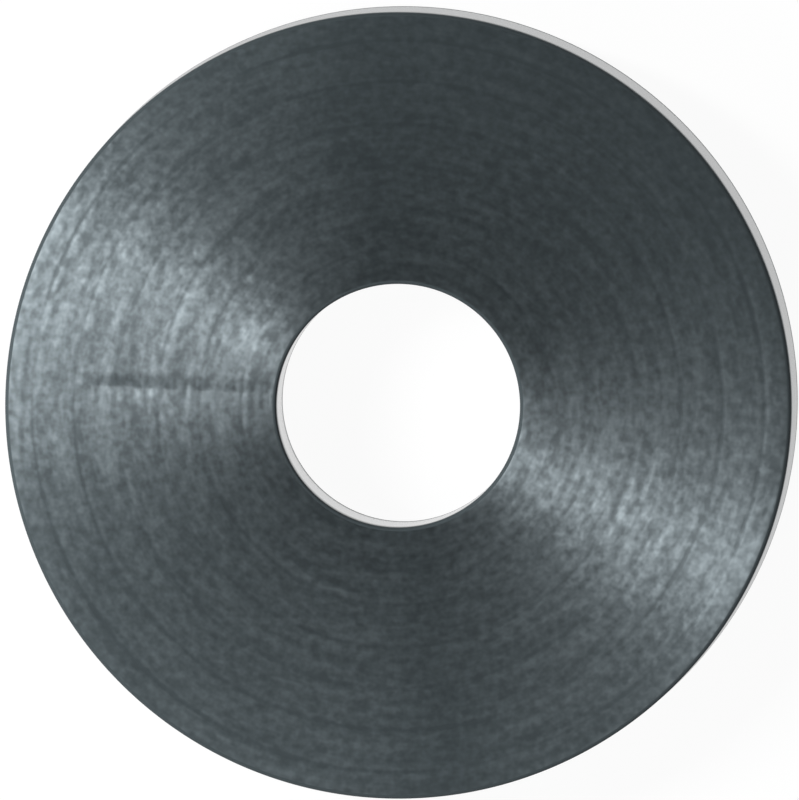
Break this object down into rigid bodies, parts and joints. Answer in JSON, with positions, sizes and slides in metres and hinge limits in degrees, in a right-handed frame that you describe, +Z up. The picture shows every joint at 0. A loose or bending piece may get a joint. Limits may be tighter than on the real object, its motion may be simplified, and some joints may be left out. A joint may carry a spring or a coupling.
{
  "type": "faucet washer",
  "caption": "Flat round faucet washer of dark hard rubber, with a plain central screw hole, slightly rounded edges and faint knife-cut rings on its face.",
  "frame": {"origin": "middle of the lower face, on the axis of the screw hole", "axes": "+Z up the axis of the screw hole, towards the scored face; +X and +Y across the ring, with the knife mark on the -X side"},
  "size_m": [0.0159, 0.0158, 0.0032],
  "materials": {
    "rubber": "satin"
  },
  "bodies": {
    "root": {"washer": "rubber"}
  },
  "joints": []
}
